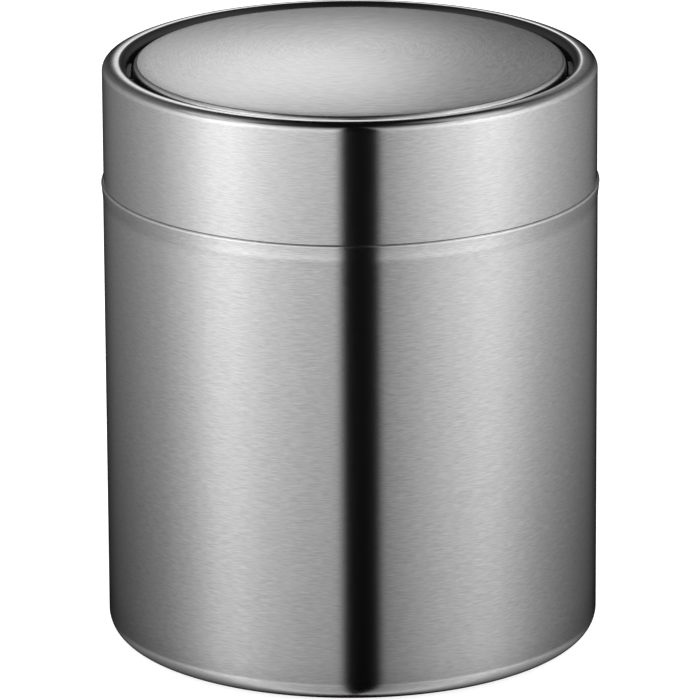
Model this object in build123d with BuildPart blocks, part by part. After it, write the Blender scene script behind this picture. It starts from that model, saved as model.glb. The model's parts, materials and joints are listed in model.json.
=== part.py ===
"""A round table-top bin with a lift-off lid ring and a self-righting swing flap.

Millimetres, +Z up, -Y to the front, +X to the right.
The origin is the centre of the non-slip pad, on the table.
"""

import os
from math import atan2, cos, degrees, hypot, radians, sin, sqrt

from build123d import *

# Body: one drawn can of stainless sheet
body_r = 60.0
body_wall = 0.6
body_height = 114.15
base_edge_r = 5.0
base_rim = 6.0
panel_rise = 1.5
panel_bend_r = 1.2
bead_proud = 0.43
bead_height = 4.3
bead_roll_r = 1.0
bead_blend_r = 20.0
neck_height = 9.0
neck_bend_r = 0.4
neck_hem_width = 2.0
neck_hem_depth = 2.2
neck_curl_r = 0.9

# Pad: soft foam disc glued in the recess under the base
pad_proud = 0.5
pad_gap = 1.0
pad_edge_r = 0.3

# Lid sleeve: a rolled steel ring with a turned-in rim
sleeve_step = 0.15
sleeve_wall = 0.5
sleeve_height = 29.5
seam_gap = 0.25
neck_gap = 0.3
shoulder_r = 1.6
shoulder_turn = 60.0
brow_r = 5.5
lip_roll_r = 2.45
lip_turn = 73.0

# Lid collar: black moulded tube that lines the sleeve and plugs into the neck
collar_wall = 2.0
collar_set_back = 0.25
collar_tuck = 0.3
plug_depth = 8.0
flange_thickness = 1.8
upper_flange_drop = 7.0
lower_flange_lift = 0.8
grip_rib_count = 6
grip_rib_width = 3.0
grip_gap = 0.3

# Bearing blocks and swing stops, moulded on the collar at both ends of the pivot axis
block_width = 12.0
block_rise = 3.9
block_drop = 6.2
block_back = 0.8
block_gap = 0.5
stop_width = 8.8
stop_depth = 3.3
stop_reach = 1.7

# Bushes: flanged acetal sleeves, closed at the outer end
bush_r = 3.0
bush_length = 4.4
bush_end = 0.5
bush_flange_r = 3.8
bush_flange = 0.5
bush_fit = 0.02

# Flap cover: domed steel disc with a hem crimped under the pan
flap_gap = 1.64
flap_crown = 3.5
flap_drop = 0.5
cover_wall = 0.5
edge_roll_r = 1.7
skirt_height = 2.6
hem_width = 2.3
hem_bend_r = 0.8
pivot_drop = 6.0

# Flap pan: black moulding under the cover, with the hubs and the keel for the weight
pan_wall = 1.2
pan_gap = 0.1
pan_rim_gap = 1.2
pan_foot = 0.9
rib_height = 1.6
rib_width = 1.2
rib_end_gap = 0.4
rib_ring_set_out = 1.5
rib_count = 12
hub_length = 6.2
hub_width = 9.0
hub_depth = 4.0
hub_inset = 3.1
nose_r = 3.2
keel_gap = 2.2
keel_width = 18.0
keel_depth = 19.0
keel_wall = 1.5
keel_corner_r = 2.5
keel_rib_x = 14.0

# Pivot pins: headed steel pins pressed into the hubs
pin_r = 1.5
pin_running_gap = 0.05
pin_end_gap = 0.3
pin_head_r = 2.4
pin_head = 1.2

# Pin keepers: small plates that slide in behind the pin heads
keeper_thickness = 1.5
keeper_width = 7.0
keeper_gap = 0.1
guide_width = 1.5

# Counterweight and the plate that closes the keel
weight_thickness = 8.0
weight_gap = 0.2
weight_edge = 0.8
plate_thickness = 1.5
plate_recess = 1.7
plate_gap = 0.15

# Screws: two self-tapping pan heads that hold the plate
screw_r = 1.2
screw_length = 8.0
screw_head_r = 2.3
screw_head = 1.5
screw_slot = 0.6
screw_slot_depth = 0.8
screw_fit = 0.02
screw_tip_gap = 1.0
boss_r = 3.0

# Body heights and radii
base_z = pad_proud
seam_z = base_z + body_height
neck_top_z = seam_z + neck_height
sleeve_r = body_r - sleeve_step
sleeve_bore_r = sleeve_r - sleeve_wall
neck_r = sleeve_bore_r - neck_gap
panel_r = body_r - base_edge_r - base_rim

# Lid ring heights and radii
crest_z = seam_z + sleeve_height
brow_turn = 90.0 - shoulder_turn
shoulder_in = shoulder_r * (1 - cos(radians(shoulder_turn)))
shoulder_rise = shoulder_r * sin(radians(shoulder_turn))
brow_in = brow_r * sin(radians(brow_turn))
brow_rise = brow_r * (1 - cos(radians(brow_turn)))
lip_in = lip_roll_r * sin(radians(lip_turn))
lip_fall = lip_roll_r * (1 - cos(radians(lip_turn)))
sleeve_top_z = crest_z - brow_rise - shoulder_rise
lip_r = sleeve_r - shoulder_in - brow_in - lip_in
lip_z = crest_z - lip_fall
flap_r = lip_r - flap_gap
throat_r = lip_r + collar_set_back
collar_r = throat_r + collar_wall
collar_z = seam_z - plug_depth
collar_top_z = lip_z - collar_tuck
block_x = flap_r + block_gap
bush_x = block_x + bush_length

# Flap heights, measured from the pivot axis
pivot_z = crest_z - flap_drop - pivot_drop
dome_r = (flap_r ** 2 + flap_crown ** 2) / (2 * flap_crown)
dome_z = pivot_drop + flap_crown - dome_r
roll_z = dome_z + sqrt((dome_r - edge_roll_r) ** 2 - (flap_r - edge_roll_r) ** 2)
roll_turn = degrees(atan2(roll_z - dome_z, flap_r - edge_roll_r))
skirt_z = pivot_drop - skirt_height
hem_r = flap_r - hem_width
pan_top_r = dome_r - cover_wall - pan_gap
pan_under_r = pan_top_r - pan_wall
pan_r = flap_r - cover_wall - pan_rim_gap
clear_z = pivot_drop + flap_crown + body_wall
hub_x = flap_r - hub_inset
pin_head_x = hub_x - hub_length
rib_ring_r = pin_head_x + rib_ring_set_out
keeper_x = pin_head_x - pin_head - keeper_gap
keel_length = 2 * (keeper_x - keeper_thickness - keel_gap)
plate_z = plate_recess - keel_depth
weight_z = plate_z + plate_thickness
keel_rib_z = weight_z + weight_thickness + weight_gap
boss_x = keel_length / 2 - keel_wall - boss_r
bay_length = keel_length - 2 * keel_wall
bay_width = keel_width - 2 * keel_wall
bay_corner_r = keel_corner_r - keel_wall

flap_plane = Plane(origin=(0, 0, pivot_z), x_dir=(1, 0, 0), z_dir=(0, -1, 0))
sides = {"left": -1, "right": 1}
pieces = []


def pan_underside(radius):
    """Height of the pan's underside above the pivot axis at a distance from the centre."""
    return dome_z + sqrt(pan_under_r ** 2 - radius ** 2)


# Body shell, drawn along the middle of its sheet
with BuildPart() as body_shell:
    half = body_wall / 2
    with BuildSketch(Plane.XZ):
        with BuildLine() as middle:
            FilletPolyline(
                (0, base_z + panel_rise + half),
                (panel_r, base_z + panel_rise + half),
                (panel_r + panel_rise, base_z + half),
                (body_r - half, base_z + half),
                (body_r - half, seam_z - bead_height),
                (body_r + bead_proud - half, seam_z - half),
                (neck_r - half, seam_z - half),
                (neck_r - half, neck_top_z - half),
                (neck_r - neck_hem_width + half, neck_top_z - half),
                (neck_r - neck_hem_width + half, neck_top_z - neck_hem_depth),
                radius=[
                    panel_bend_r,
                    panel_bend_r,
                    base_edge_r - half,
                    bead_blend_r,
                    bead_roll_r - half,
                    neck_bend_r + half,
                    neck_curl_r - half,
                    neck_curl_r - half,
                ],
            )
        for stretch in middle.edges():
            trace(stretch, line_width=body_wall)
    revolve(axis=Axis.Z)
body_shell.part.label = "body_shell"
pieces.append(body_shell.part)

# Base pad
with BuildPart() as base_pad:
    with BuildSketch():
        Circle(panel_r - pad_gap)
    extrude(amount=pad_proud + panel_rise)
    fillet(base_pad.faces().sort_by(Axis.Z)[0].edges(), pad_edge_r)
base_pad.part.label = "base_pad"
pieces.append(base_pad.part)

# Lid sleeve, drawn along the middle of its sheet
with BuildPart() as lid_sleeve:
    half = sleeve_wall / 2
    with BuildSketch(Plane.XZ):
        with BuildLine() as middle:
            wall = Line((sleeve_r - half, seam_z + seam_gap), (sleeve_r - half, sleeve_top_z))
            shoulder = JernArc(wall @ 1, wall % 1, shoulder_r - half, shoulder_turn)
            brow = JernArc(shoulder @ 1, shoulder % 1, brow_r - half, brow_turn)
            JernArc(brow @ 1, brow % 1, lip_roll_r - half, lip_turn)
        for stretch in middle.edges():
            trace(stretch, line_width=sleeve_wall)
    revolve(axis=Axis.Z)
lid_sleeve.part.label = "lid_sleeve"
pieces.append(lid_sleeve.part)

# Lid collar: tube and two flanges, then grip ribs, bearing blocks, stops and bush seats
with BuildPart() as lid_collar:
    with BuildSketch(Plane.XZ):
        with Locations((throat_r, collar_z)):
            Rectangle(collar_wall, collar_top_z - collar_z, align=Align.MIN)
        for flange_z in (neck_top_z + lower_flange_lift, crest_z - upper_flange_drop):
            with Locations((throat_r, flange_z)):
                Rectangle(sleeve_bore_r - throat_r, flange_thickness, align=Align.MIN)
    revolve(axis=Axis.Z)
    with BuildSketch(Plane.XY.offset(collar_z)):
        with PolarLocations(throat_r, grip_rib_count):
            grip_reach = neck_r - neck_hem_width - grip_gap - throat_r
            Rectangle(grip_reach, grip_rib_width, align=(Align.MIN, Align.CENTER))
        Circle(throat_r, mode=Mode.SUBTRACT)
    extrude(amount=neck_top_z - collar_z)
    for side in sides.values():
        with BuildSketch(Plane.XY.offset(pivot_z - block_drop)):
            with Locations((side * (block_x + bush_x + block_back) / 2, 0)):
                Rectangle(bush_length + block_back, block_width)
        extrude(amount=block_drop + block_rise)
        with BuildSketch(Plane.XY.offset(pivot_z - block_drop)):
            with Locations((side * (flap_r - stop_reach + collar_r) / 2, 0)):
                Rectangle(collar_r - flap_r + stop_reach, stop_width)
        extrude(amount=-stop_depth)
        with BuildSketch(Plane.YZ.offset(side * block_x)):
            with Locations((0, pivot_z)):
                Circle(bush_r + bush_fit)
        extrude(amount=side * (bush_length + bush_fit), mode=Mode.SUBTRACT)
        with BuildSketch(Plane.YZ.offset(side * block_x)):
            with Locations((0, pivot_z)):
                Circle(bush_flange_r + bush_fit)
        extrude(amount=side * (bush_flange + bush_fit), mode=Mode.SUBTRACT)
lid_collar.part.label = "lid_collar"
pieces.append(lid_collar.part)

# Hinge bushes
for name, side in sides.items():
    with BuildPart() as hinge_bush:
        with BuildSketch(Plane.YZ.offset(side * block_x)):
            with Locations((0, pivot_z)):
                Circle(bush_r)
        extrude(amount=side * bush_length)
        with BuildSketch(Plane.YZ.offset(side * block_x)):
            with Locations((0, pivot_z)):
                Circle(bush_flange_r)
        extrude(amount=side * bush_flange)
        with BuildSketch(Plane.YZ.offset(side * block_x)):
            with Locations((0, pivot_z)):
                Circle(pin_r + pin_running_gap)
        extrude(amount=side * (bush_length - bush_end), mode=Mode.SUBTRACT)
    hinge_bush.part.label = f"hinge_bush_{name}"
    pieces.append(hinge_bush.part)

# Flap cover, drawn along the middle of its sheet from the hem to the crown
with BuildPart() as flap_cover:
    half = cover_wall / 2
    with BuildSketch(flap_plane):
        with BuildLine() as middle:
            hem = Line((hem_r, skirt_z + half), (flap_r - hem_bend_r, skirt_z + half))
            bend = JernArc(hem @ 1, hem % 1, hem_bend_r - half, 90)
            skirt = Line(bend @ 1, (flap_r - half, roll_z))
            roll = JernArc(skirt @ 1, skirt % 1, edge_roll_r - half, roll_turn)
            RadiusArc(roll @ 1, (0, dome_z + dome_r - half), half - dome_r)
        for stretch in middle.edges():
            trace(stretch, line_width=cover_wall)
    revolve(axis=Axis.Z)
flap_cover.part.label = "flap_cover"
pieces.append(flap_cover.part)

# Stiffening ribs of the pan: a star and a ring, cut to follow the dome
with BuildPart() as pan_ribs:
    rib_end_r = hem_r - rib_end_gap
    with BuildSketch(Plane.XY.offset(pivot_z)):
        with PolarLocations(rib_end_r / 2, rib_count, start_angle=180 / rib_count):
            Rectangle(rib_end_r, rib_width)
    extrude(amount=clear_z)
    with BuildSketch(Plane.XY.offset(pivot_z)):
        Circle(rib_ring_r + rib_width / 2)
        Circle(rib_ring_r - rib_width / 2, mode=Mode.SUBTRACT)
    extrude(amount=clear_z)
    with BuildSketch(flap_plane):
        Rectangle(rib_end_r, clear_z, align=Align.MIN)
        with Locations((0, dome_z)):
            Circle(pan_under_r + pan_wall / 2, mode=Mode.INTERSECT)
        with Locations((0, dome_z - rib_height)):
            Circle(pan_under_r, mode=Mode.SUBTRACT)
    revolve(axis=Axis.Z, mode=Mode.INTERSECT)

# Flap pan
with BuildPart() as flap_pan:
    with BuildSketch(flap_plane):
        Rectangle(pan_r, clear_z, align=Align.MIN)
        with Locations((0, dome_z)):
            Circle(pan_top_r, mode=Mode.INTERSECT)
            Circle(pan_under_r, mode=Mode.SUBTRACT)
        foot_z = skirt_z + cover_wall + pan_gap
        with Locations((pan_r - pan_foot, foot_z)):
            Rectangle(pan_foot, pan_underside(pan_r) + pan_wall / 2 - foot_z, align=Align.MIN)
    revolve(axis=Axis.Z)
    with BuildSketch(Plane.XY.offset(pivot_z - keel_depth)):
        RectangleRounded(keel_length, keel_width, keel_corner_r)
        RectangleRounded(bay_length, bay_width, bay_corner_r, mode=Mode.SUBTRACT)
    extrude(amount=keel_depth + pan_underside(0))
    with BuildSketch(Plane.XY.offset(pivot_z + keel_rib_z)):
        with Locations((-keel_rib_x, 0), (keel_rib_x, 0)):
            Rectangle(keel_wall, keel_width - keel_wall)
    extrude(amount=pan_underside(0) - keel_rib_z)
    with BuildSketch(Plane.XY.offset(pivot_z + weight_z)):
        with Locations((-boss_x, 0), (boss_x, 0)):
            Circle(boss_r)
        with Locations((-boss_x - boss_r / 2, 0), (boss_x + boss_r / 2, 0)):
            Rectangle(boss_r + keel_wall, keel_wall)
    extrude(amount=pan_underside(0) - weight_z)
    with BuildSketch(Plane.XY.offset(pivot_z + weight_z)):
        with Locations((-boss_x, 0), (boss_x, 0)):
            Circle(screw_r + screw_fit)
    extrude(amount=screw_length - plate_thickness + screw_tip_gap, mode=Mode.SUBTRACT)
    for side in sides.values():
        with BuildSketch(Plane.XY.offset(pivot_z - hub_depth)):
            with Locations((side * (hub_x - hub_length / 2), 0)):
                Rectangle(hub_length, hub_width)
            with Locations((side * (keeper_x - keeper_thickness + pin_head_x) / 2, 0)):
                Rectangle(pin_head_x - keeper_x + keeper_thickness, keeper_width + 2 * guide_width)
                Rectangle(pin_head_x - keeper_x + keeper_thickness, keeper_width, mode=Mode.SUBTRACT)
        extrude(amount=hub_depth + clear_z)
        with BuildSketch(Plane.YZ.offset(side * (hub_x - hub_length / 2))):
            with Locations((0, pivot_z)):
                Circle(nose_r)
        extrude(amount=side * (flap_r - hub_x + hub_length / 2))
        with BuildSketch(Plane.YZ.offset(side * pin_head_x)):
            with Locations((0, pivot_z)):
                Circle(pin_r)
        extrude(amount=side * (flap_r - pin_head_x), mode=Mode.SUBTRACT)
    with BuildSketch(flap_plane):
        Rectangle(flap_r, 2 * clear_z, align=Align.MIN)
        with Locations((0, dome_z)):
            Circle(pan_top_r, mode=Mode.SUBTRACT)
    revolve(axis=Axis.Z, mode=Mode.SUBTRACT)
    add(pan_ribs.part)
flap_pan.part.label = "flap_pan"
pieces.append(flap_pan.part)

# Pivot pins
for name, side in sides.items():
    with BuildPart() as pivot_pin:
        with BuildSketch(Plane.YZ.offset(side * (pin_head_x - pin_head))):
            with Locations((0, pivot_z)):
                Circle(pin_head_r)
        extrude(amount=side * pin_head)
        with BuildSketch(Plane.YZ.offset(side * (pin_head_x - pin_head / 2))):
            with Locations((0, pivot_z)):
                Circle(pin_r)
        extrude(amount=side * (bush_x - bush_end - pin_end_gap - pin_head_x + pin_head / 2))
    pivot_pin.part.label = f"pivot_pin_{name}"
    pieces.append(pivot_pin.part)

# Pin keepers
for name, side in sides.items():
    with BuildPart() as pin_keeper:
        keeper_top_z = pan_underside(hypot(keeper_x, keeper_width / 2)) - keeper_gap
        with BuildSketch(Plane.XY.offset(pivot_z - hub_depth)):
            with Locations((side * (keeper_x - keeper_thickness / 2), 0)):
                Rectangle(keeper_thickness, keeper_width - 2 * keeper_gap)
        extrude(amount=hub_depth + keeper_top_z)
    pin_keeper.part.label = f"pin_keeper_{name}"
    pieces.append(pin_keeper.part)

# Counterweight
with BuildPart() as counterweight:
    with BuildSketch(Plane.XY.offset(pivot_z + weight_z)):
        Rectangle(2 * (boss_x - boss_r - weight_gap), bay_width - 2 * weight_gap)
    extrude(amount=weight_thickness)
    chamfer(counterweight.edges(), weight_edge)
counterweight.part.label = "counterweight"
pieces.append(counterweight.part)

# Weight plate
with BuildPart() as weight_plate:
    with BuildSketch(Plane.XY.offset(pivot_z + plate_z)):
        RectangleRounded(bay_length - 2 * plate_gap, bay_width - 2 * plate_gap, bay_corner_r - plate_gap)
        with Locations((-boss_x, 0), (boss_x, 0)):
            Circle(screw_r + plate_gap, mode=Mode.SUBTRACT)
    extrude(amount=plate_thickness)
weight_plate.part.label = "weight_plate"
pieces.append(weight_plate.part)

# Plate screws, one group of two
with BuildPart() as plate_screws:
    with BuildSketch(Plane.XY.offset(pivot_z + plate_z)):
        with Locations((-boss_x, 0), (boss_x, 0)):
            Circle(screw_head_r)
    extrude(amount=-screw_head)
    with BuildSketch(Plane.XY.offset(pivot_z + plate_z)):
        with Locations((-boss_x, 0), (boss_x, 0)):
            Circle(screw_r)
    extrude(amount=screw_length)
    with BuildSketch(Plane.XY.offset(pivot_z + plate_z - screw_head)):
        with Locations((-boss_x, 0), (boss_x, 0)):
            Rectangle(2 * screw_r, screw_slot)
            Rectangle(screw_slot, 2 * screw_r)
    extrude(amount=screw_slot_depth, mode=Mode.SUBTRACT)
plate_screws.part.label = "plate_screws"
pieces.append(plate_screws.part)

os.makedirs("parts", exist_ok=True)
for piece in pieces:
    export_step(piece, f"parts/{piece.label}.step")
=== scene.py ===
"""Studio scene of a round brushed-steel table-top bin with a swing flap.

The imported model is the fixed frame. The three steel pressings are drawn again as fine spun sheet, every other piece
keeps its own mesh, and each gets the finish of what it is made of. Lengths in metres, +Z up, -Y to the front.
"""

from __future__ import annotations

import json
import logging
from dataclasses import dataclass
from enum import Enum
from math import atan2, ceil, copysign, cos, pi, radians, sin, sqrt, tan, tau
from typing import Any

import bmesh
import bpy
from mathutils import Matrix, Vector

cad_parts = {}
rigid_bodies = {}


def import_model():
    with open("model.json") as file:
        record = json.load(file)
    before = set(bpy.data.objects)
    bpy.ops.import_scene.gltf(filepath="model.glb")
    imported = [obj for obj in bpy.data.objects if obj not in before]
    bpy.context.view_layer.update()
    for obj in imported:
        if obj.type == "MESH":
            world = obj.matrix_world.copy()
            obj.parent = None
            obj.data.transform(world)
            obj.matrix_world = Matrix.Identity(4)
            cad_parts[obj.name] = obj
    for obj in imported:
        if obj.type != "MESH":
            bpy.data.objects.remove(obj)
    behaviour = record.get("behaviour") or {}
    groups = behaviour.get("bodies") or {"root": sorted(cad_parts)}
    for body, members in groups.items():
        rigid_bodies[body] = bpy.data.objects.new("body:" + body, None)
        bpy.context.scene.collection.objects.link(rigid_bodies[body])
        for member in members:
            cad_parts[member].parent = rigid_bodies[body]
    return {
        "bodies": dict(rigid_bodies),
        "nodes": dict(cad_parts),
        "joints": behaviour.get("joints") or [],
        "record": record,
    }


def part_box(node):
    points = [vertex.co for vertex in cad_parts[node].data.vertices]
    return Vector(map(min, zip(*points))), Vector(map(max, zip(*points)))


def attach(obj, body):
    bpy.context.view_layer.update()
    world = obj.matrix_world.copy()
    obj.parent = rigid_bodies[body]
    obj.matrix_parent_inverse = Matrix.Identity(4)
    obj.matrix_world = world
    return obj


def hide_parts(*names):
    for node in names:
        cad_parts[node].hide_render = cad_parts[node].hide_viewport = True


log = logging.getLogger("table_bin")

MM = 0.001
PHOTO_PIXELS = 700
SENSOR_WIDTH_MM = 36.0
SPIN_STEPS = 256
BEND_STEP = radians(7.5)
WELD = 1e-7


def linear(colour: str) -> tuple[float, float, float, float]:
    """Turns a colour into the linear values that a shader takes.

    Args:
        colour: sRGB as "#RRGGBB".

    Returns:
        Red, green, blue and an alpha of one.
    """
    parts = [int(colour[i : i + 2], 16) / 255 for i in (1, 3, 5)]
    red, green, blue = (p / 12.92 if p <= 0.04045 else ((p + 0.055) / 1.055) ** 2.4 for p in parts)
    return red, green, blue, 1.0


def add_node(tree: bpy.types.NodeTree, kind: str, inputs: dict[str | int, Any] | None = None, **settings: Any) -> Any:
    """Adds one node with its settings, and sets or links its inputs.

    Args:
        tree: Node tree of the material or the world.
        kind: Node type without the word ShaderNode.
        inputs: Value or output socket for each input, by its name or its number.
        settings: Attributes of the node itself, such as operation.

    Returns:
        The new node.
    """
    made = tree.nodes.new(f"ShaderNode{kind}")
    for name, value in settings.items():
        setattr(made, name, value)
    for key, value in (inputs or {}).items():
        if isinstance(value, bpy.types.NodeSocket):
            tree.links.new(value, made.inputs[key])
        else:
            made.inputs[key].default_value = value
    return made


def new_material(name: str) -> tuple[bpy.types.Material, bpy.types.NodeTree, Any]:
    """Starts a material with an empty node tree.

    Args:
        name: Name of the finish.

    Returns:
        The material, its tree and its output node.
    """
    material = bpy.data.materials.new(name)
    material.use_nodes = True
    material.node_tree.nodes.clear()
    return material, material.node_tree, add_node(material.node_tree, "OutputMaterial")


class Lay(Enum):
    """Which way the brush lines of a steel finish run."""

    ROUND_THE_WALL = "level bands round the wall"
    CONCENTRIC = "circles about the middle of the disc"


@dataclass(frozen=True)
class BrushedSteel:
    """Ferritic stainless sheet, brushed with a fine belt.

    The brush leaves fine parallel scratches, so a reflection stays fairly crisp along them and smears widely across
    them, and the surface shows faint light and dark lines. A turned-in lip may get painted shade on its inner side:
    black gloss in place of the bare steel, so that the gap inside it looks deep and dark.
    """

    name: str
    lay: Lay
    colour: str = "#DCDCDC"
    roughness: float = 0.155
    anisotropy: float = 0.86
    line_mm: float = 0.17
    streak_mm: float = 2.4
    scratch_mm: float = 0.004
    shade: float = 0.125
    polished_above_mm: float = 1000.0
    polish_fade_mm: float = 1.2
    polished_roughness: float = 0.1
    # painted shade: black gloss drawn on the lip's inner side, within this radius and above this height
    painted_shade_within_mm: float = 0.0
    painted_shade_above_mm: float = 130.0
    painted_shade_fade_mm: float = 0.15
    painted_shade_colour: str = "#101010"
    painted_shade_roughness: float = 0.3
    painted_shade_ior: float = 1.5

    def material(self) -> bpy.types.Material:
        """Builds the finish."""
        material, tree, output = new_material(self.name)
        place = add_node(tree, "TexCoord").outputs["Object"]
        lines = self.lines(tree, place)
        brushed = self.brushed_share(tree, place)
        rough = add_node(
            tree,
            "MapRange",
            {"Value": lines, "To Min": self.roughness - 0.03, "To Max": self.roughness + 0.03},
        )
        rough = add_node(
            tree, "Mix", {"Factor": brushed, "A": self.polished_roughness, "B": rough.outputs[0]}, data_type="FLOAT"
        )
        tone = add_node(
            tree,
            "MapRange",
            {"Value": lines, "From Min": 0.3, "From Max": 0.7, "To Min": 1 - self.shade, "To Max": 1 + self.shade},
        )
        steel = add_node(tree, "VectorMath", {0: linear(self.colour)[:3], "Scale": tone.outputs[0]}, operation="SCALE")
        scratches = add_node(
            tree, "Bump", {"Height": lines, "Distance": self.scratch_mm * MM, "Strength": brushed}
        )
        around = add_node(tree, "Tangent", direction_type="RADIAL", axis="Z")
        shader = add_node(
            tree,
            "BsdfPrincipled",
            {
                "Base Color": steel.outputs[0],
                "Metallic": 1.0,
                "Roughness": rough.outputs[0],
                "Anisotropic": self.anisotropy,
                "Anisotropic Rotation": 0.25,
                "Normal": scratches.outputs[0],
                "Tangent": around.outputs[0],
            },
        )
        # painted shade: the lip's inner side is drawn black so the gap inside looks deep, where the real lip is bare
        # steel
        if self.painted_shade_within_mm:
            painted_shade_gloss = add_node(
                tree,
                "BsdfPrincipled",
                {
                    "Base Color": linear(self.painted_shade_colour),
                    "Roughness": self.painted_shade_roughness,
                    "IOR": self.painted_shade_ior,
                },
            )
            shader = add_node(
                tree,
                "MixShader",
                {0: self.painted_shade_share(tree, place), 1: shader.outputs[0], 2: painted_shade_gloss.outputs[0]},
            )
        tree.links.new(shader.outputs[0], output.inputs["Surface"])
        return material

    def painted_shade_share(self, tree: bpy.types.NodeTree, place: bpy.types.NodeSocket) -> bpy.types.NodeSocket:
        """Finds the lip's inner side, which lies nearer to the axis than the crest and above the body.

        Args:
            tree: Node tree of the material.
            place: Object coordinates.

        Returns:
            One on the painted shade and zero on bare steel.
        """
        flat = add_node(tree, "Mapping", {"Vector": place, "Scale": (1, 1, 0)})
        radius = add_node(tree, "VectorMath", {0: flat.outputs[0]}, operation="LENGTH")
        edge = self.painted_shade_within_mm * MM
        inside = add_node(
            tree,
            "MapRange",
            {
                "Value": radius.outputs["Value"],
                "From Min": edge - self.painted_shade_fade_mm * MM,
                "From Max": edge,
                "To Min": 1.0,
                "To Max": 0.0,
            },
        )
        height = add_node(tree, "SeparateXYZ", {0: place})
        above = add_node(
            tree, "Math", {0: height.outputs[2], 1: self.painted_shade_above_mm * MM}, operation="GREATER_THAN"
        )
        return add_node(tree, "Math", {0: inside.outputs[0], 1: above.outputs[0]}, operation="MULTIPLY").outputs[0]

    def brushed_share(self, tree: bpy.types.NodeTree, place: bpy.types.NodeSocket) -> bpy.types.NodeSocket:
        """Fades the brushing out where the rim was polished.

        Args:
            tree: Node tree of the material.
            place: Object coordinates.

        Returns:
            One where the steel is brushed and zero where it is polished.
        """
        height = add_node(tree, "SeparateXYZ", {0: place})
        edge = self.polished_above_mm * MM
        share = add_node(
            tree,
            "MapRange",
            {
                "Value": height.outputs[2],
                "From Min": edge,
                "From Max": edge + self.polish_fade_mm * MM,
                "To Min": 1.0,
                "To Max": 0.0,
            },
        )
        return share.outputs[0]

    def lines(self, tree: bpy.types.NodeTree, place: bpy.types.NodeSocket) -> bpy.types.NodeSocket:
        """Draws the brush lines as a noise that is short across them and long along them.

        Args:
            tree: Node tree of the material.
            place: Object coordinates.

        Returns:
            The height of the lines, from 0 to 1.
        """
        along = 1 / (self.streak_mm * MM)
        across = 1 / (self.line_mm * MM)
        if self.lay is Lay.ROUND_THE_WALL:
            stretched = add_node(tree, "Mapping", {"Vector": place, "Scale": (along, along, across)}).outputs[0]
        else:
            flat = add_node(tree, "Mapping", {"Vector": place, "Scale": (1, 1, 0)})
            radius = add_node(tree, "VectorMath", {0: flat.outputs[0]}, operation="LENGTH")
            across_radius = add_node(tree, "Math", {0: radius.outputs["Value"], 1: across}, operation="MULTIPLY")
            spread = add_node(tree, "VectorMath", {0: flat.outputs[0], "Scale": along}, operation="SCALE")
            split = add_node(tree, "SeparateXYZ", {0: spread.outputs[0]})
            stretched = add_node(
                tree, "CombineXYZ", {0: split.outputs[0], 1: split.outputs[1], 2: across_radius.outputs[0]}
            ).outputs[0]
        noise = add_node(tree, "TexNoise", {"Vector": stretched, "Scale": 1.0, "Detail": 3.0, "Roughness": 0.6})
        return noise.outputs[0]


@dataclass(frozen=True)
class BlackPolypropylene:
    """Black polypropylene from a spark-eroded mould: a fine even grain that breaks up the gloss."""

    name: str = "moulded_black_polypropylene"
    colour: str = "#1C1C1D"
    roughness: float = 0.46
    grain_mm: float = 0.35  # the real grain is about 0.1 mm, too fine to show
    grain_height_mm: float = 0.02

    def material(self) -> bpy.types.Material:
        """Builds the finish."""
        material, tree, output = new_material(self.name)
        place = add_node(tree, "TexCoord").outputs["Object"]
        grain = add_node(tree, "TexNoise", {"Vector": place, "Scale": 1 / (self.grain_mm * MM), "Detail": 2.0})
        cloud = add_node(tree, "TexNoise", {"Vector": place, "Scale": 1 / (14 * MM), "Detail": 2.0})
        rough = add_node(
            tree,
            "MapRange",
            {"Value": cloud.outputs[0], "To Min": self.roughness - 0.08, "To Max": self.roughness + 0.08},
        )
        relief = add_node(
            tree, "Bump", {"Height": grain.outputs[0], "Distance": self.grain_height_mm * MM, "Strength": 1.0}
        )
        shader = add_node(
            tree,
            "BsdfPrincipled",
            {
                "Base Color": linear(self.colour),
                "Roughness": rough.outputs[0],
                "IOR": 1.49,
                "Normal": relief.outputs[0],
            },
        )
        tree.links.new(shader.outputs[0], output.inputs["Surface"])
        return material


@dataclass(frozen=True)
class NaturalAcetal:
    """Natural acetal from a polished mould: milky white, waxy, with light that sinks a little way in."""

    name: str = "natural_acetal"
    colour: str = "#ECEAE2"
    shadow_colour: str = "#DFDBCF"
    flow_mm: float = 2.5

    def material(self) -> bpy.types.Material:
        """Builds the finish."""
        material, tree, output = new_material(self.name)
        place = add_node(tree, "TexCoord").outputs["Object"]
        flow = add_node(tree, "TexNoise", {"Vector": place, "Scale": 1 / (self.flow_mm * MM), "Detail": 3.0})
        tone = add_node(
            tree,
            "Mix",
            {"Factor": flow.outputs[0], 6: linear(self.colour), 7: linear(self.shadow_colour)},
            data_type="RGBA",
        )
        rough = add_node(tree, "MapRange", {"Value": flow.outputs[0], "To Min": 0.28, "To Max": 0.42})
        relief = add_node(tree, "Bump", {"Height": flow.outputs[0], "Distance": 0.01 * MM, "Strength": 1.0})
        shader = add_node(
            tree,
            "BsdfPrincipled",
            {
                "Base Color": tone.outputs[2],
                "Roughness": rough.outputs[0],
                "IOR": 1.48,
                "Subsurface Weight": 0.2,
                "Subsurface Scale": 0.8 * MM,
                "Normal": relief.outputs[0],
            },
        )
        tree.links.new(shader.outputs[0], output.inputs["Surface"])
        return material


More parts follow.
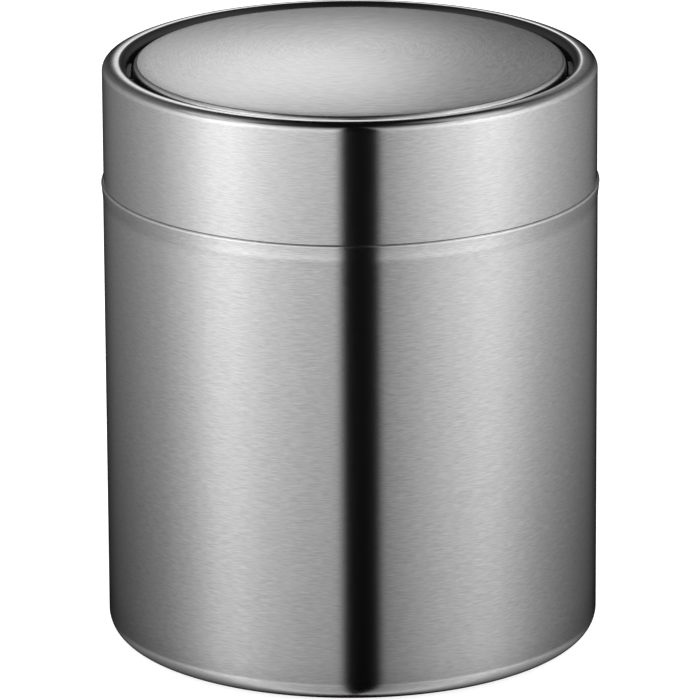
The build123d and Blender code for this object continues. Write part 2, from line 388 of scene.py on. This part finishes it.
@dataclass(frozen=True)
class TurnedSteel:
    """Free-cutting steel, turned and nickel plated: bright, with fine tool marks across the pin's length."""

    name: str = "turned_plated_steel"
    colour: str = "#C3C2BF"
    mark_mm: float = 0.25

    def material(self) -> bpy.types.Material:
        """Builds the finish."""
        material, tree, output = new_material(self.name)
        place = add_node(tree, "TexCoord").outputs["Object"]
        wide = 1 / (6 * MM)
        stretched = add_node(tree, "Mapping", {"Vector": place, "Scale": (1 / (self.mark_mm * MM), wide, wide)})
        marks = add_node(tree, "TexNoise", {"Vector": stretched.outputs[0], "Scale": 1.0, "Detail": 2.0})
        rough = add_node(tree, "MapRange", {"Value": marks.outputs[0], "To Min": 0.2, "To Max": 0.38})
        relief = add_node(tree, "Bump", {"Height": marks.outputs[0], "Distance": 0.01 * MM, "Strength": 1.0})
        shader = add_node(
            tree,
            "BsdfPrincipled",
            {
                "Base Color": linear(self.colour),
                "Metallic": 1.0,
                "Roughness": rough.outputs[0],
                "Normal": relief.outputs[0],
            },
        )
        tree.links.new(shader.outputs[0], output.inputs["Surface"])
        return material


@dataclass(frozen=True)
class ZincCoatedIron:
    """Cold-drawn iron bar with electroplated zinc: dull grey, cloudy, with darker patches where it was handled."""

    name: str = "zinc_coated_iron"
    colour: str = "#A9ABAE"
    stain: str = "#7F8287"
    cloud_mm: float = 6.0
    speck_mm: float = 0.6

    def material(self) -> bpy.types.Material:
        """Builds the finish."""
        material, tree, output = new_material(self.name)
        place = add_node(tree, "TexCoord").outputs["Object"]
        cloud = add_node(
            tree, "TexNoise", {"Vector": place, "Scale": 1 / (self.cloud_mm * MM), "Detail": 4.0, "Distortion": 0.6}
        )
        speck = add_node(tree, "TexNoise", {"Vector": place, "Scale": 1 / (self.speck_mm * MM), "Detail": 3.0})
        patch = add_node(tree, "MapRange", {"Value": cloud.outputs[0], "From Min": 0.4, "From Max": 0.68})
        tone = add_node(
            tree,
            "Mix",
            {"Factor": patch.outputs[0], 6: linear(self.colour), 7: linear(self.stain)},
            data_type="RGBA",
        )
        rough = add_node(tree, "MapRange", {"Value": cloud.outputs[0], "To Min": 0.38, "To Max": 0.62})
        relief = add_node(tree, "Bump", {"Height": speck.outputs[0], "Distance": 0.03 * MM, "Strength": 1.0})
        shader = add_node(
            tree,
            "BsdfPrincipled",
            {
                "Base Color": tone.outputs[2],
                "Metallic": 1.0,
                "Roughness": rough.outputs[0],
                "Normal": relief.outputs[0],
            },
        )
        tree.links.new(shader.outputs[0], output.inputs["Surface"])
        return material


@dataclass(frozen=True)
class FoamRubber:
    """Black closed-cell foam rubber with a skived face: matt, with small open cells all over."""

    name: str = "closed_cell_foam_rubber"
    colour: str = "#232324"
    worn_colour: str = "#343434"
    cell_mm: float = 0.8

    def material(self) -> bpy.types.Material:
        """Builds the finish."""
        material, tree, output = new_material(self.name)
        place = add_node(tree, "TexCoord").outputs["Object"]
        cells = add_node(tree, "TexVoronoi", {"Vector": place, "Scale": 1 / (self.cell_mm * MM)})
        wear = add_node(tree, "TexNoise", {"Vector": place, "Scale": 1 / (9 * MM), "Detail": 3.0})
        tone = add_node(
            tree,
            "Mix",
            {"Factor": wear.outputs[0], 6: linear(self.colour), 7: linear(self.worn_colour)},
            data_type="RGBA",
        )
        relief = add_node(tree, "Bump", {"Height": cells.outputs[0], "Distance": 0.12 * MM, "Strength": 1.0})
        shader = add_node(
            tree,
            "BsdfPrincipled",
            {"Base Color": tone.outputs[2], "Roughness": 0.9, "IOR": 1.5, "Normal": relief.outputs[0]},
        )
        tree.links.new(shader.outputs[0], output.inputs["Surface"])
        return material


class SheetLine:
    """The middle line of a pressed sheet in the plane y = 0, drawn from its first point on and then spun."""

    def __init__(self, radius: float, height: float, heading: float) -> None:
        """Puts down the first point.

        Args:
            radius: Distance of the first point from the bin's axis.
            height: Height of the first point.
            heading: Direction in which the line starts, in radians from outwards towards up.
        """
        self.mesh = bmesh.new()
        self.tip = self.mesh.verts.new((radius, 0.0, height))
        self.heading = heading

    def run(self, length: float) -> None:
        """Goes straight on.

        Args:
            length: How far the line goes.
        """
        step = Vector((cos(self.heading), 0.0, sin(self.heading))) * length
        self.tip = bmesh.ops.extrude_vert_indiv(self.mesh, verts=[self.tip])["verts"][0]
        bmesh.ops.translate(self.mesh, verts=[self.tip], vec=step)

    def bend(self, radius: float, turn: float) -> None:
        """Bends on from the line's own direction.

        Args:
            radius: Radius of the bend at the middle of the sheet.
            turn: Angle of the bend in radians, positive from outwards towards up.
        """
        left = Vector((-sin(self.heading), 0.0, cos(self.heading)))
        spun = bmesh.ops.spin(
            self.mesh,
            geom=[self.tip],
            cent=self.tip.co + left * copysign(radius, turn),
            axis=(0.0, -1.0, 0.0),
            angle=turn,
            steps=max(3, ceil(abs(turn) / BEND_STEP)),
        )
        self.tip = next(part for part in spun["geom_last"] if isinstance(part, bmesh.types.BMVert))
        self.heading += turn

    def follow(self, corners: list[tuple[float, float, float]]) -> None:
        """Goes from corner to corner and rounds each on its way.

        Args:
            corners: Distance from the axis, height and bend radius of each corner. The last one is the line's end.
        """
        for (radius, height, bend), after in zip(corners, corners[1:] + [None]):
            here = Vector((radius - self.tip.co.x, 0.0, height - self.tip.co.z))
            if after is None:
                self.run(here.length)
                return
            leaving = atan2(after[1] - height, after[0] - radius)
            turn = (leaving - self.heading + pi) % tau - pi
            straight = here.length - bend * tan(abs(turn) / 2)
            if straight > WELD:
                self.run(straight)
            self.bend(bend, turn)

    def press(self, name: str, wall: float, cut_edge: float) -> bpy.types.Object:
        """Spins the line to a round sheet and gives it its thickness.

        Args:
            name: Name of the finished piece.
            wall: Thickness of the sheet.
            cut_edge: Rounding of the sheet's trimmed edges.

        Returns:
            The finished piece.
        """
        bmesh.ops.spin(
            self.mesh,
            geom=self.mesh.verts[:] + self.mesh.edges[:],
            cent=(0.0, 0.0, 0.0),
            axis=(0.0, 0.0, 1.0),
            angle=tau,
            steps=SPIN_STEPS,
            use_merge=True,
        )
        bmesh.ops.remove_doubles(self.mesh, verts=self.mesh.verts, dist=WELD)
        bmesh.ops.recalc_face_normals(self.mesh, faces=self.mesh.faces)
        data = bpy.data.meshes.new(name)
        self.mesh.to_mesh(data)
        self.mesh.free()
        data.shade_smooth()
        piece = bpy.data.objects.new(name, data)
        bpy.context.collection.objects.link(piece)
        sheet = piece.modifiers.new("sheet", "SOLIDIFY")
        sheet.thickness = wall
        sheet.offset = 0.0
        sheet.use_even_offset = True
        trim = piece.modifiers.new("trimmed_edge", "BEVEL")
        trim.width = cut_edge
        trim.segments = 2
        trim.limit_method = "ANGLE"
        trim.angle_limit = radians(60)
        trim.harden_normals = True
        return piece


def dress(piece: bpy.types.Object, body: str, finish: bpy.types.Material, replaced: str) -> None:
    """Gives a new piece its finish and puts it in the place of a CAD node.

    Args:
        piece: The new piece.
        body: CAD body that it moves with.
        finish: Material of the piece.
        replaced: CAD node that it stands for.
    """
    piece.data.materials.append(finish)
    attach(piece, body)
    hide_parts(replaced)
    log.info("%s: %d faces, stands for %s", piece.name, len(piece.data.polygons), replaced)


def paint(frame: dict[str, Any], nodes: tuple[str, ...], finish: bpy.types.Material) -> None:
    """Gives CAD nodes that keep their own mesh their finish.

    Args:
        frame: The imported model.
        nodes: Names of the nodes.
        finish: Their material.
    """
    for name in nodes:
        for slot in frame["nodes"][name].material_slots:
            slot.material = finish
        log.info("%s: %s", name, finish.name)


@dataclass
class BinBody:
    """The drawn steel can and the foam pad under it."""

    frame: dict[str, Any]
    radius: float = 60.0 * MM
    wall: float = 0.6 * MM
    base_edge: float = 5.0 * MM
    base_rim: float = 6.0 * MM
    panel_rise: float = 1.5 * MM
    panel_bend: float = 1.2 * MM
    bead_proud: float = 0.43 * MM
    bead_height: float = 4.3 * MM
    bead_roll: float = 0.6 * MM
    bead_blend: float = 20.0 * MM
    neck_height: float = 9.0 * MM
    neck_radius: float = 59.05 * MM
    neck_bend: float = 0.4 * MM
    neck_curl: float = 0.9 * MM
    hem_width: float = 2.0 * MM
    hem_depth: float = 2.2 * MM

    def shell(self) -> bpy.types.Object:
        """Draws the can from the middle of its base to the hem of its neck."""
        low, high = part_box("body_shell")
        half = self.wall / 2
        seam = high.z - self.neck_height
        panel = self.radius - self.base_edge - self.base_rim
        hem = self.neck_radius - self.hem_width + half
        line = SheetLine(0.0, low.z + self.panel_rise + half, 0.0)
        line.follow(
            [
                (panel, low.z + self.panel_rise + half, self.panel_bend),
                (panel + self.panel_rise, low.z + half, self.panel_bend),
                (self.radius - half, low.z + half, self.base_edge - half),
                (self.radius - half, seam - self.bead_height, self.bead_blend),
                (self.radius + self.bead_proud - half, seam - half, self.bead_roll - half),
                (self.neck_radius - half, seam - half, self.neck_bend + half),
                (self.neck_radius - half, high.z - half, self.neck_curl - half),
                (hem, high.z - half, self.neck_curl - half),
                (hem, high.z - self.hem_depth, 0.0),
            ]
        )
        return line.press("body_can", self.wall, 0.12 * MM)

    def build(self, steel: bpy.types.Material, foam: bpy.types.Material) -> None:
        """Builds and dresses the body.

        Args:
            steel: Finish of the wall.
            foam: Finish of the pad.
        """
        dress(self.shell(), "bin_body", steel, "body_shell")
        paint(self.frame, ("base_pad",), foam)


@dataclass
class LidRing:
    """The steel lid ring with its black collar and the two bushes."""

    frame: dict[str, Any]
    wall: float = 0.5 * MM
    shoulder: float = 1.6 * MM
    shoulder_turn: float = radians(60.0)
    brow: float = 5.5 * MM
    lip_roll: float = 2.45 * MM
    lip_turn: float = radians(73.0)
    lower_edge_reach: float = 0.17 * MM

    def sleeve(self) -> bpy.types.Object:
        """Draws the ring from its lower edge over the crest to the turned-down lip."""
        low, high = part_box("lid_sleeve")
        half = self.wall / 2
        brow_turn = pi / 2 - self.shoulder_turn
        rise = self.shoulder * sin(self.shoulder_turn) + self.brow * (1 - cos(brow_turn))
        start = low.z - self.lower_edge_reach
        line = SheetLine(high.x - half, start, pi / 2)
        line.run(high.z - rise - start)
        line.bend(self.shoulder - half, self.shoulder_turn)
        line.bend(self.brow - half, brow_turn)
        line.bend(self.lip_roll - half, self.lip_turn)
        return line.press("ring_sleeve", self.wall, 0.05 * MM)

    def build(self, steel: bpy.types.Material, black: bpy.types.Material, acetal: bpy.types.Material) -> None:
        """Builds and dresses the lid ring.

        Args:
            steel: Finish of the sleeve.
            black: Finish of the collar.
            acetal: Finish of the bushes.
        """
        dress(self.sleeve(), "lid_ring", steel, "lid_sleeve")
        paint(self.frame, ("lid_collar",), black)
        paint(self.frame, ("hinge_bush_left", "hinge_bush_right"), acetal)


@dataclass
class SwingFlap:
    """The domed steel cover on its black pan, with the pivot and the counterweight."""

    frame: dict[str, Any]
    wall: float = 0.5 * MM
    crown: float = 3.5 * MM
    edge_roll: float = 1.3 * MM
    hem_width: float = 2.3 * MM
    hem_bend: float = 0.8 * MM

    def cover(self) -> bpy.types.Object:
        """Draws the cover from its hem under the pan, round the rolled edge and over the dome."""
        low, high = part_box("flap_cover")
        half = self.wall / 2
        radius = high.x
        dome = (radius**2 + self.crown**2) / (2 * self.crown)
        dome_centre = high.z - dome
        roll_radius = radius - self.edge_roll
        roll_height = dome_centre + sqrt((dome - self.edge_roll) ** 2 - roll_radius**2)
        roll_turn = atan2(roll_height - dome_centre, roll_radius)
        line = SheetLine(radius - self.hem_width, low.z + half, 0.0)
        line.run(self.hem_width - self.hem_bend)
        line.bend(self.hem_bend - half, pi / 2)
        line.run(roll_height - line.tip.co.z)
        line.bend(self.edge_roll - half, roll_turn)
        self.dome_over(line, dome - half)
        return line.press("flap_dome", self.wall, 0.1 * MM)

    def dome_over(self, line: SheetLine, radius: float) -> None:
        """Takes the line over the shallow dome to the middle.

        Args:
            line: The cover's line, at the end of its rolled edge.
            radius: Radius of the dome at the middle of the sheet.
        """
        steps = 20
        arc = pi - line.heading
        for _ in range(steps):
            line.heading += arc / steps / 2
            line.run(2 * radius * sin(arc / steps / 2))
            line.heading += arc / steps / 2

    def build(self, finishes: dict[str, bpy.types.Material]) -> None:
        """Builds and dresses the flap.

        Args:
            finishes: Finish for each group of its pieces.
        """
        dress(self.cover(), "swing_flap", finishes["disc"], "flap_cover")
        paint(self.frame, ("flap_pan", "pin_keeper_left", "pin_keeper_right", "weight_plate"), finishes["black"])
        paint(self.frame, ("pivot_pin_left", "pivot_pin_right", "plate_screws"), finishes["turned"])
        paint(self.frame, ("counterweight",), finishes["iron"])


@dataclass(frozen=True)
class Levels:
    """How bright the tent's cloth, or the table that metal shows, is from one place to the next."""

    places: tuple[float, ...]
    levels: tuple[float, ...]

    def ramp(self, tree: bpy.types.NodeTree, value: bpy.types.NodeSocket) -> bpy.types.NodeSocket:
        """Reads the brightness at a place.

        Args:
            tree: Node tree of the cloth.
            value: Place on the cloth, in the same unit as the places.

        Returns:
            The brightness there.
        """
        first, last = self.places[0], self.places[-1]
        share = add_node(tree, "MapRange", {"Value": value, "From Min": first, "From Max": last})
        ramp = add_node(tree, "ValToRGB", {"Fac": share.outputs[0]})
        stops = ramp.color_ramp.elements
        for where in self.places[1:-1]:
            stops.new((where - first) / (last - first))
        for stop, level in zip(stops, self.levels):
            stop.color = (level, level, level, 1.0)
        return ramp.outputs[0]


@dataclass
class Studio:
    """Camera, floor, and a cloth tent round the bin that its steel reflects.

    Azimuths are turns about the bin in degrees, from the camera to the right. Heights on the tent are sines of the
    elevation seen from the bin. The levels of the tent and of the table near the bin were set for the steel as the
    photograph's view shows it. Some are above 1, so this is not a plain light, and other views may look too bright or
    too dark.
    """

    camera_distance: float = 1.7
    camera_height: float = 0.5961
    camera_pitch: float = radians(17.1785)
    camera_roll: float = radians(-0.3151)
    lens_pixels: float = 7286.3
    centre_column: float = 351.28
    tent_radius: float = 1.6
    floor_size: float = 4.0
    lamp_size: float = 1.0
    lamp_height: float = 1.35
    lamp_power: float = 9.0
    side_turns: Levels = Levels(
        (
            -180, -172, -163, -154, -144, -129, -118, -98, -82, -65, -55, -37, -20, -6.8, -2.8,
            11.7, 14.8, 42, 61, 70, 82, 97, 112, 128, 146, 160, 167, 180,
        ),
        (
            0.0, 0.0, 0.05, 0.1, 0.17, 0.24, 0.3, 0.44, 0.67, 1.02, 1.05, 0.77, 0.61, 0.54, 0.0,
            0.0, 0.33, 0.7, 0.92, 0.94, 0.79, 0.58, 0.44, 0.32, 0.2, 0.07, 0.0, 0.0,
        ),
    )
    side_heights: Levels = Levels(
        (
            -1.0, -0.9, -0.75, -0.6, -0.54, -0.48, -0.42, -0.385, -0.35, -0.28, -0.24, -0.19, -0.12, 0.0, 0.34,
            0.5, 0.62, 0.75, 0.87, 0.95, 1.0,
        ),
        (
            1.8, 1.9, 2.0, 2.1, 2.5, 2.9, 2.1, 1.2, 0.84, 0.83, 0.92, 1.03, 1.14, 1.3, 1.45,
            1.5, 1.35, 1.0, 0.6, 0.2, 0.0,
        ),
    )
    roof_turns: Levels = Levels(
        (-180, -162, -148, -136, -110, -75, -45, -25, 25, 45, 75, 110, 140, 152, 166, 180),
        (0.0, 0.0, 0.35, 0.7, 0.9, 0.9, 0.7, 0.0, 0.0, 0.6, 1.0, 1.0, 0.85, 0.5, 0.0, 0.0),
    )
    roof_heights: Levels = Levels(
        (-1.0, 0.6, 0.74, 0.8, 0.86, 0.91, 0.95, 1.0), (0.0, 0.0, 0.2, 0.75, 0.95, 0.6, 0.0, 0.0)
    )
    back_sides: Levels = Levels(
        (-0.34, -0.24, -0.2, -0.16, -0.13, -0.1, -0.07, 0.0, 0.025, 0.05, 0.08, 0.12, 0.2, 0.3, 0.4),
        (0.03, 0.05, 0.09, 0.2, 0.52, 0.9, 1.0, 0.99, 0.83, 0.53, 0.25, 0.18, 0.125, 0.06, 0.0),
    )
    back_heights: Levels = Levels(
        (-1.0, 0.0, 0.06, 0.1, 0.17, 0.25, 0.3, 0.36, 0.42, 0.5, 0.56, 0.62, 1.0),
        (0.0, 0.0, 0.02, 0.06, 0.2, 0.46, 0.7, 0.96, 1.15, 1.35, 1.15, 0.0, 0.0),
    )
    # painted shadow: how much of the tent the steel sees through the table, less near the bin
    painted_table_shade: Levels = Levels(
        (0.06, 0.07, 0.08, 0.1, 0.13, 0.2, 0.27, 0.44), (0.34, 0.34, 0.44, 0.49, 0.57, 0.75, 0.84, 1.0)
    )

    def camera(self) -> bpy.types.Object:
        """Sets the camera at the photograph's place, height and tilt."""
        data = bpy.data.cameras.new("photo_camera")
        data.sensor_width = SENSOR_WIDTH_MM
        data.lens = self.lens_pixels * SENSOR_WIDTH_MM / PHOTO_PIXELS
        data.shift_x = (PHOTO_PIXELS / 2 - self.centre_column) / PHOTO_PIXELS
        data.clip_end = 20.0
        camera = bpy.data.objects.new("photo_camera", data)
        bpy.context.collection.objects.link(camera)
        camera.matrix_world = (
            Matrix.Translation((0.0, -self.camera_distance, self.camera_height))
            @ Matrix.Rotation(pi / 2 - self.camera_pitch, 4, "X")
            @ Matrix.Rotation(self.camera_roll, 4, "Z")
        )
        bpy.context.scene.camera = camera
        return camera

    def floor(self) -> bpy.types.Object:
        """Lays the pale table that the bin stands on."""
        # glossy rays see a painted shadow on the table, darker near the bin
        mesh = bmesh.new()
        bmesh.ops.create_grid(mesh, x_segments=8, y_segments=8, size=self.floor_size / 2)
        data = bpy.data.meshes.new("table")
        mesh.to_mesh(data)
        mesh.free()
        table = bpy.data.objects.new("table", data)
        bpy.context.collection.objects.link(table)
        material, tree, output = new_material("pale_table")
        seen = add_node(tree, "LightPath").outputs["Is Camera Ray"]
        lit = add_node(tree, "BsdfDiffuse", {"Color": linear("#E6E6E6")})
        glow = add_node(tree, "Emission", {"Color": (1.0, 1.0, 1.0, 1.0), "Strength": 0.75})
        both = add_node(tree, "AddShader", {0: lit.outputs[0], 1: glow.outputs[0]})
        mixed = add_node(tree, "MixShader", {0: seen, 1: lit.outputs[0], 2: both.outputs[0]})
        place = add_node(tree, "TexCoord").outputs["Object"]
        away = add_node(tree, "VectorMath", {0: place}, operation="LENGTH")
        # painted shadow: the table lets less of the tent through to the steel near the bin
        shade = add_node(tree, "BsdfTransparent", {"Color": self.painted_table_shade.ramp(tree, away.outputs["Value"])})
        mirrored = add_node(tree, "LightPath").outputs["Is Glossy Ray"]
        shown = add_node(tree, "MixShader", {0: mirrored, 1: mixed.outputs[0], 2: shade.outputs[0]})
        tree.links.new(shown.outputs[0], output.inputs["Surface"])
        data.materials.append(material)
        return table

    def lamp(self) -> bpy.types.Object:
        """Hangs a large soft lamp over the bin, for everything that isn't polished."""
        data = bpy.data.lights.new("overhead_lamp", "AREA")
        data.shape = "SQUARE"
        data.size = self.lamp_size
        data.energy = self.lamp_power
        lamp = bpy.data.objects.new("overhead_lamp", data)
        bpy.context.collection.objects.link(lamp)
        lamp.location = (0.0, 0.0, self.lamp_height)
        lamp.visible_glossy = False
        return lamp

    def tent(self) -> bpy.types.Object:
        """Hangs the tent: two bright sides, a bright back, and dark cloth elsewhere."""
        mesh = bmesh.new()
        bmesh.ops.create_uvsphere(mesh, u_segments=64, v_segments=32, radius=self.tent_radius)
        data = bpy.data.meshes.new("light_tent")
        mesh.to_mesh(data)
        mesh.free()
        tent = bpy.data.objects.new("light_tent", data)
        bpy.context.collection.objects.link(tent)
        data.materials.append(self.tent_cloth())
        tent.visible_camera = False
        return tent

    def tent_cloth(self) -> bpy.types.Material:
        """Makes the cloth, which glows by itself, as if lamps lit it from outside."""
        material, tree, output = new_material("tent_cloth")
        place = add_node(tree, "TexCoord").outputs["Object"]
        outward = add_node(tree, "VectorMath", {0: place}, operation="NORMALIZE")
        split = add_node(tree, "SeparateXYZ", {0: outward.outputs[0]})
        backwards = add_node(tree, "Math", {0: split.outputs[1], 1: -1.0}, operation="MULTIPLY")
        turn = add_node(tree, "Math", {0: split.outputs[0], 1: backwards.outputs[0]}, operation="ARCTAN2")
        azimuth = add_node(tree, "Math", {0: turn.outputs[0], 1: 180 / pi}, operation="MULTIPLY")
        sides = add_node(
            tree,
            "Math",
            {
                0: self.side_turns.ramp(tree, azimuth.outputs[0]),
                1: self.side_heights.ramp(tree, split.outputs[2]),
            },
            operation="MULTIPLY",
        )
        back = add_node(
            tree,
            "Math",
            {
                0: self.back_sides.ramp(tree, split.outputs[0]),
                1: self.back_heights.ramp(tree, split.outputs[2]),
            },
            operation="MULTIPLY",
        )
        behind = add_node(tree, "Math", {0: split.outputs[1], 1: 0.0}, operation="GREATER_THAN")
        back = add_node(tree, "Math", {0: back.outputs[0], 1: behind.outputs[0]}, operation="MULTIPLY")
        roof = add_node(
            tree,
            "Math",
            {
                0: self.roof_turns.ramp(tree, azimuth.outputs[0]),
                1: self.roof_heights.ramp(tree, split.outputs[2]),
            },
            operation="MULTIPLY",
        )
        level = add_node(tree, "Math", {0: sides.outputs[0], 1: back.outputs[0]}, operation="MAXIMUM")
        level = add_node(tree, "Math", {0: level.outputs[0], 1: roof.outputs[0]}, operation="MAXIMUM")
        level = add_node(tree, "Math", {0: level.outputs[0], 1: 0.004}, operation="ADD")
        glow = add_node(tree, "Emission", {"Color": (1.0, 1.0, 1.0, 1.0), "Strength": level.outputs[0]})
        tree.links.new(glow.outputs[0], output.inputs["Surface"])
        return material

    def background(self) -> None:
        """Makes the world white where it is seen, directly or in metal, and plain soft light elsewhere."""
        world = bpy.data.worlds.new("white_background")
        world.use_nodes = True
        tree = world.node_tree
        tree.nodes.clear()
        path = add_node(tree, "LightPath")
        shown = add_node(
            tree, "Math", {0: path.outputs["Is Camera Ray"], 1: path.outputs["Is Glossy Ray"]}, operation="MAXIMUM"
        )
        shown = add_node(
            tree, "Math", {0: shown.outputs[0], 1: path.outputs["Is Transmission Ray"]}, operation="MAXIMUM"
        )
        strength = add_node(tree, "MapRange", {"Value": shown.outputs[0], "To Min": 0.8, "To Max": 1.0})
        back = add_node(tree, "Background", {"Color": (1.0, 1.0, 1.0, 1.0), "Strength": strength.outputs[0]})
        output = add_node(tree, "OutputWorld", {"Surface": back.outputs[0]})
        output.is_active_output = True
        bpy.context.scene.world = world

    def build(self) -> None:
        """Sets up the whole studio."""
        self.camera()
        self.floor()
        self.tent()
        self.lamp()
        self.background()
        bpy.context.scene.view_settings.view_transform = "Standard"


def main() -> None:
    """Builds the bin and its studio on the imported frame."""
    logging.basicConfig(level=logging.INFO, format="%(name)s: %(message)s")
    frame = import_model()
    bpy.context.view_layer.update()
    wall_steel = BrushedSteel(
        # the lip's inner side, within 55.8 mm of the axis, gets painted shade: drawn black, not bare steel
        "brushed_wall_steel", Lay.ROUND_THE_WALL, polished_above_mm=142.0, painted_shade_within_mm=55.8
    ).material()
    disc_steel = BrushedSteel(
        "spun_disc_steel", Lay.CONCENTRIC, roughness=0.24, anisotropy=0.35, streak_mm=3.0, line_mm=0.34, shade=0.16
    ).material()
    black = BlackPolypropylene().material()
    BinBody(frame).build(wall_steel, FoamRubber().material())
    LidRing(frame).build(wall_steel, black, NaturalAcetal().material())
    SwingFlap(frame).build(
        {
            "disc": disc_steel,
            "black": black,
            "turned": TurnedSteel().material(),
            "iron": ZincCoatedIron().material(),
        }
    )
    Studio().build()
    bpy.context.view_layer.update()


if __name__ == "__main__":
    main()
